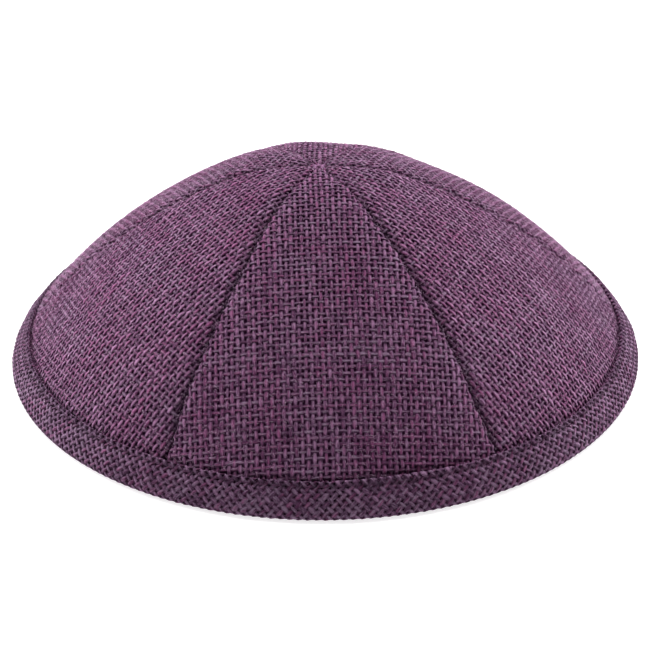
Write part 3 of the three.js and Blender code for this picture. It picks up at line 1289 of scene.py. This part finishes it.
def reverse_finish(name, warp_pitch, weft_pitch, lean):
    """The wrong side of the cloth, seen from inside: the same weave in low relief."""
    finish = Finish(name)
    across, down = finish.map_parts("pattern")
    x = across * MM_PER_MAP
    y = down * MM_PER_MAP
    if lean:
        x, y = (x + y) * math.sqrt(0.5), (y - x) * math.sqrt(0.5)
    x = x * (1 / warp_pitch)
    y = y * (1 / weft_pitch)
    warp = x.floor()
    weft = y.floor()
    over = ((warp + weft) * math.pi).cosine()
    in_warp = 1.0 - ((x - warp - 0.5) * 2.0).absolute()
    in_weft = 1.0 - ((y - weft - 0.5) * 2.0).absolute()
    warp_body = (in_warp * 2.2 - 0.35).clamped()
    weft_body = (in_weft * 2.0 - 0.65).clamped()
    raised = over * 0.5 + 0.5
    top = warp_body * (0.35 + 0.65 * raised * in_weft)
    under = weft_body * (0.30 + 0.70 * (1.0 - raised) * in_warp)
    height = top.maths("MAXIMUM", top, under)
    tone = finish.chance(warp * raised + weft * (1.0 - raised) + raised * 57.0, 5.0)
    fibre = finish.noise(finish.vector(x, y), 6.0, 3.0)
    colour = finish.mix(((tone - 0.5) * 1.2 + fibre).clamped(), MAUVE, ROSE)
    colour = finish.mix((fibre - 0.35).clamped(), colour, PLUM)
    # Painted shade in the gaps between the low yarns.
    colour = finish.mix((1.0 - height * 1.7).clamped(), colour, PAINTED_GAP_SHADE)
    return finish.cloth(colour, 0.9, height, 0.0004, 0.25)


def thread_finish():
    finish = Finish("sewing thread")
    ply = finish.noise(finish.place(), 3200.0, 1.0)
    return finish.cloth(finish.mix(ply, *THREAD_TONES), 0.6, ply, 0.00008, 0.2)


def fibre_finish():
    finish = Finish("loose fibres")
    # Fibres are paler than any yarn: their own pale lilac, and a painted sheen on top.
    tone = finish.noise(finish.place(), 700.0, 1.0)
    return finish.cloth(finish.mix(tone, *FIBRE_TONES_AND_SHEEN), 0.8, sheen=0.4)


def floor_finish():
    finish = Finish("pale floor")
    grain = finish.noise(finish.place(), 40.0, 3.0)
    # The floor glows as well: painted light that fills in the shadow under the rim and lights the
    # cap from below.
    return finish.cloth(finish.mix(grain, *FLOOR_TONES), 0.8, glow=0.77)


# Studio

def set_floor():
    deselect()
    bpy.ops.mesh.primitive_plane_add(size=12.0, location=(0, 0, 0))
    floor = fresh("floor")
    floor.data.materials.append(floor_finish())


def set_light(name, place, size, power):
    """A soft box that looks at the middle of the cap."""
    light = bpy.data.lights.new(name, "AREA")
    light.shape = "RECTANGLE"
    light.size, light.size_y = size
    light.energy = power
    lamp = bpy.data.objects.new(name, light)
    bpy.context.collection.objects.link(lamp)
    lamp.location = place
    aim = Vector((0, 0, 0.02)) - Vector(place)
    lamp.rotation_euler = aim.to_track_quat("-Z", "Y").to_euler()


def set_lights():
    world = bpy.data.worlds.new("soft room")
    bpy.context.scene.world = world
    world.use_nodes = True
    room = world.node_tree.nodes["Background"].inputs
    room["Color"].default_value = (1.0, 0.985, 0.98, 1.0)
    room["Strength"].default_value = 0.1
    set_light("top box", (0.0, 0.5, 1.2), (1.6, 1.0), 29.5)
    set_light("left box", (-1.1, 0.6, 0.16), (0.7, 0.3), 23.5)
    set_light("right box", (1.1, 0.6, 0.16), (0.7, 0.3), 22.0)
    bpy.context.scene.view_settings.view_transform = "Standard"
    bpy.context.scene.view_settings.look = "None"


# The photograph's viewpoint: how high it stands and how far round to the left, its roll, its
# distance, and its lens with the shift that frames the cap.
CAMERA_ELEVATION = math.radians(29.56)
CAMERA_ROUND = math.radians(0.94)
CAMERA_ROLL = math.radians(0.54)
CAMERA_DISTANCE = 0.4911
CAMERA_LENS = 99.1
CAMERA_SHIFT = (-0.0002, 0.0289)


def set_camera():
    camera = bpy.data.objects.new("camera", bpy.data.cameras.new("camera"))
    bpy.context.collection.objects.link(camera)
    level = CAMERA_DISTANCE * math.cos(CAMERA_ELEVATION)
    camera.location = (
        -level * math.sin(CAMERA_ROUND),
        -level * math.cos(CAMERA_ROUND),
        CAMERA_DISTANCE * math.sin(CAMERA_ELEVATION),
    )
    aim = (-camera.location).to_track_quat("-Z", "Y").to_matrix()
    camera.rotation_euler = (aim @ Matrix.Rotation(-CAMERA_ROLL, 3, "Z")).to_euler()
    camera.data.sensor_width = 36.0
    camera.data.lens = CAMERA_LENS
    camera.data.shift_x, camera.data.shift_y = CAMERA_SHIFT
    camera.data.clip_start = 0.01
    bpy.context.scene.camera = camera


# Making

set_camera()
set_floor()
set_lights()

tones = (MAUVE, ROSE, PLUM)
grey_tones = (LILAC_GREY, ROSE, PLUM)
# The wefts are dimmer than the warps. The back gores' yarns are dimmed copies of the front ones,
# with narrower painted flank shade, and the binding's yarns are dimmed as well: painted shade.
front_yarns = (
    yarn_finish("warp yarn", tones, 1.0, 1.05, 1.0, 1.35),
    yarn_finish("weft yarn", grey_tones, 2.0, 0.9, -1.0, 1.75),
)
back_yarns = (
    yarn_finish("warp yarn, back gores", tones, 1.0, 0.89, 1.0, 1.1),
    yarn_finish("weft yarn, back gores", grey_tones, 2.0, 0.78, -1.0, 1.45),
)
bias_yarns = (
    yarn_finish("bias warp yarn", (LILAC_GREY, MAUVE, PLUM), 5.0, 0.77, 1.0, 1.2),
    yarn_finish("bias weft yarn", grey_tones, 6.0, 0.78, -1.0, 1.2),
)
ground_cloth = ground_finish()
gore_reverse = reverse_finish("gore cloth, wrong side", WARP["pitch"], WEFT["pitch"], False)
binding_reverse = reverse_finish("bias strip, inside", WARP["pitch"], WARP["pitch"], True)
thread = thread_finish()
fitting = fitting_nodes()
fuzzing = fuzz_nodes()
fibre = draw_fibre(fibre_finish())

for number, (name, node, _, _) in enumerate(GORES):
    gore, column, order, ground, thick = cut_gore(number)
    pattern = pattern_of(gore, column, order)
    gore.data.materials.append(ground_cloth)
    gore.data.materials.append(gore_reverse)
    thicken_gore(gore, column, ground, thick)
    finishes = back_yarns if "back" in name else front_yarns
    yarns = weave_patch(name + "_yarns", CLOTH_PIECE, number + 1, finishes)
    run_nodes(yarns, fitting, {"Pattern": pattern})
    yarns.data.attributes.remove(yarns.data.attributes["outside"])
    run_nodes(yarns, fuzzing, {"Fibre": fibre, "Density": FUZZ[number], "Seed": number})
    bpy.data.objects.remove(pattern)
    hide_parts(node)
    for piece in (gore, yarns):
        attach(piece, "root")

binding = fold_binding()
binding.data.materials.append(binding_reverse)
binding_weave = weave_binding(bias_yarns)
bpy.data.objects.remove(fibre)
stitches = sew_binding()
stitches.data.materials.append(thread)
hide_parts("rim_binding")
for piece in (binding, binding_weave, stitches):
    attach(piece, "root")
